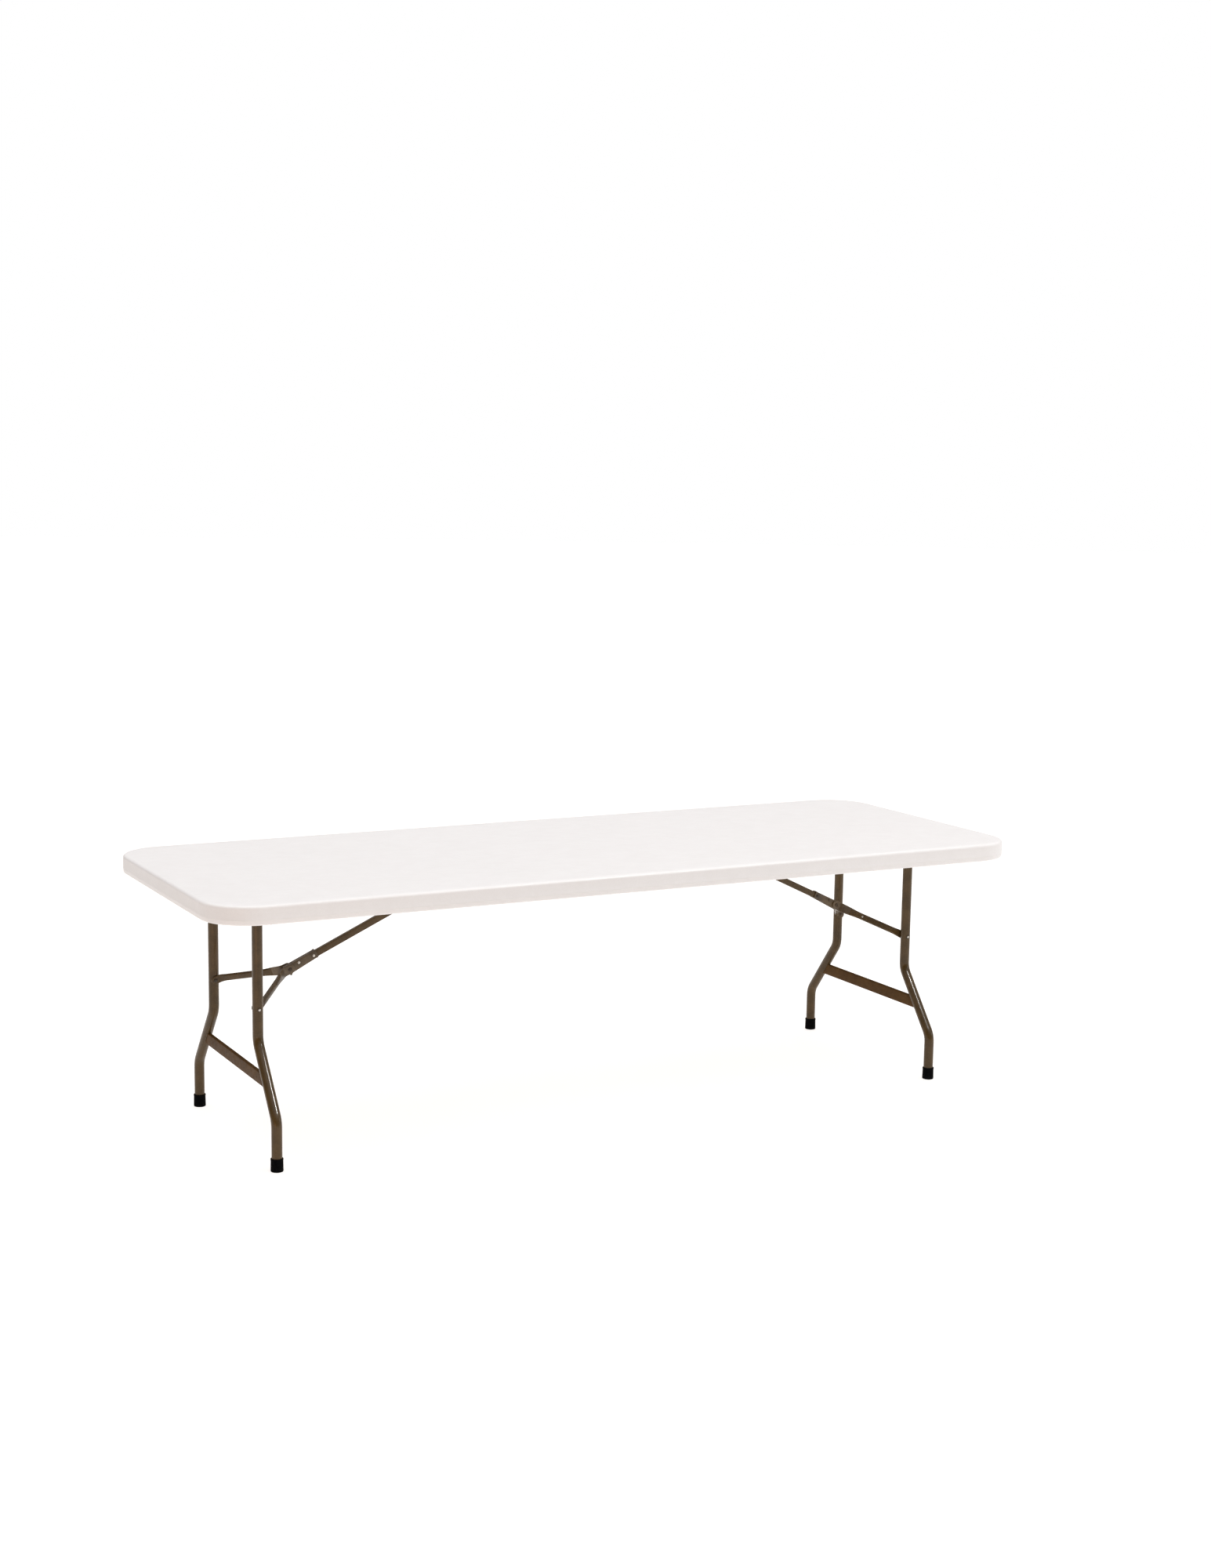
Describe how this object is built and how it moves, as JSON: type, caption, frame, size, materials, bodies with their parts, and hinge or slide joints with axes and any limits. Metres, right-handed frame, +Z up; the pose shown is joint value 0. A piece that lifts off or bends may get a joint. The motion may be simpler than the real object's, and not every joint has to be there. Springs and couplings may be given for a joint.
{
  "type": "folding table",
  "caption": "Long folding banquet table: a moulded plastic top with rounded corners on two steel wishbone leg frames that fold in flat, each held open by a Y-shaped folding brace.",
  "frame": {"origin": "on the floor, under the middle of the top, with the legs down", "axes": "+X along the table's length, +Y across it from front to back, +Z up"},
  "size_m": [2.44, 0.914, 0.725],
  "materials": {
    "top_plastic": "warm white blow-moulded polyethylene with a fine pebbled texture",
    "frame_paint": "dark bronze powder coat, semi-gloss",
    "rail_paint": "dark bronze powder coat, semi-gloss",
    "foot_rubber": "matt black moulded rubber",
    "bush_plastic": "black moulded nylon",
    "rivet_steel": "bright zinc-plated steel"
  },
  "bodies": {
    "top": {"axle_bracket_left_back": "rail_paint", "axle_bracket_left_front": "rail_paint", "axle_bracket_right_back": "rail_paint", "axle_bracket_right_front": "rail_paint", "axle_bush_left_back": "bush_plastic", "axle_bush_left_front": "bush_plastic", "axle_bush_right_back": "bush_plastic", "axle_bush_right_front": "bush_plastic", "brace_clevis_left": "rail_paint", "brace_clevis_right": "rail_paint", "brace_top_pin_left": "rivet_steel", "brace_top_pin_right": "rivet_steel", "cross_rail_left": "rail_paint", "cross_rail_right": "rail_paint", "side_rail_back": "rail_paint", "side_rail_front": "rail_paint", "tabletop": "top_plastic"},
    "leg_left": {"axle_plug_left_back": "bush_plastic", "axle_plug_left_front": "bush_plastic", "axle_tube_left": "frame_paint", "crossbar_left": "frame_paint", "foot_cap_left_back": "foot_rubber", "foot_cap_left_front": "foot_rubber", "leg_rivet_left_back": "rivet_steel", "leg_rivet_left_front": "rivet_steel", "leg_tube_left_back": "frame_paint", "leg_tube_left_front": "frame_paint"},
    "bar_left": {"brace_bar_left": "frame_paint", "channel_rivet_left_lower": "rivet_steel", "channel_rivet_left_upper": "rivet_steel", "hinge_channel_left": "frame_paint"},
    "arms_left": {"arm_rivet_left_back": "rivet_steel", "arm_rivet_left_front": "rivet_steel", "brace_arm_left_back": "frame_paint", "brace_arm_left_front": "frame_paint", "hinge_pin_left": "rivet_steel"},
    "leg_right": {"axle_plug_right_back": "bush_plastic", "axle_plug_right_front": "bush_plastic", "axle_tube_right": "frame_paint", "crossbar_right": "frame_paint", "foot_cap_right_back": "foot_rubber", "foot_cap_right_front": "foot_rubber", "leg_rivet_right_back": "rivet_steel", "leg_rivet_right_front": "rivet_steel", "leg_tube_right_back": "frame_paint", "leg_tube_right_front": "frame_paint"},
    "bar_right": {"brace_bar_right": "frame_paint", "channel_rivet_right_lower": "rivet_steel", "channel_rivet_right_upper": "rivet_steel", "hinge_channel_right": "frame_paint"},
    "arms_right": {"arm_rivet_right_back": "rivet_steel", "arm_rivet_right_front": "rivet_steel", "brace_arm_right_back": "frame_paint", "brace_arm_right_front": "frame_paint", "hinge_pin_right": "rivet_steel"}
  },
  "joints": [
    {"name": "leg_fold_left", "type": "hinge", "parent": "top", "child": "leg_left", "pos_m": [-1.02, 0, 0.655], "axis": [0, -1, 0], "range_deg": [0, 90]},
    {"name": "bar_fold_left", "type": "hinge", "parent": "top", "child": "bar_left", "pos_m": [-0.337, 0, 0.69], "axis": [0, 1, 0], "range_deg": [0, 20.6]},
    {"name": "arm_fold_left", "type": "hinge", "parent": "bar_left", "child": "arms_left", "pos_m": [-0.8693, 0, 0.449], "axis": [0, -1, 0], "range_deg": [0, 182.2]},
    {"name": "leg_fold_right", "type": "hinge", "parent": "top", "child": "leg_right", "pos_m": [1.02, 0, 0.655], "axis": [0, 1, 0], "range_deg": [0, 90]},
    {"name": "bar_fold_right", "type": "hinge", "parent": "top", "child": "bar_right", "pos_m": [0.444, 0, 0.69], "axis": [0, -1, 0], "range_deg": [0, 21.5]},
    {"name": "arm_fold_right", "type": "hinge", "parent": "bar_right", "child": "arms_right", "pos_m": [0.882, 0, 0.481], "axis": [0, 1, 0], "range_deg": [0, 173]}
  ],
  "couplings": [
    {"joint": "bar_fold_left", "follows": "leg_fold_left", "ratio": 0.22865},
    {"joint": "arm_fold_left", "follows": "leg_fold_left", "ratio": 2.0236},
    {"joint": "bar_fold_right", "follows": "leg_fold_right", "ratio": 0.23781},
    {"joint": "arm_fold_right", "follows": "leg_fold_right", "ratio": 1.9199}
  ]
}
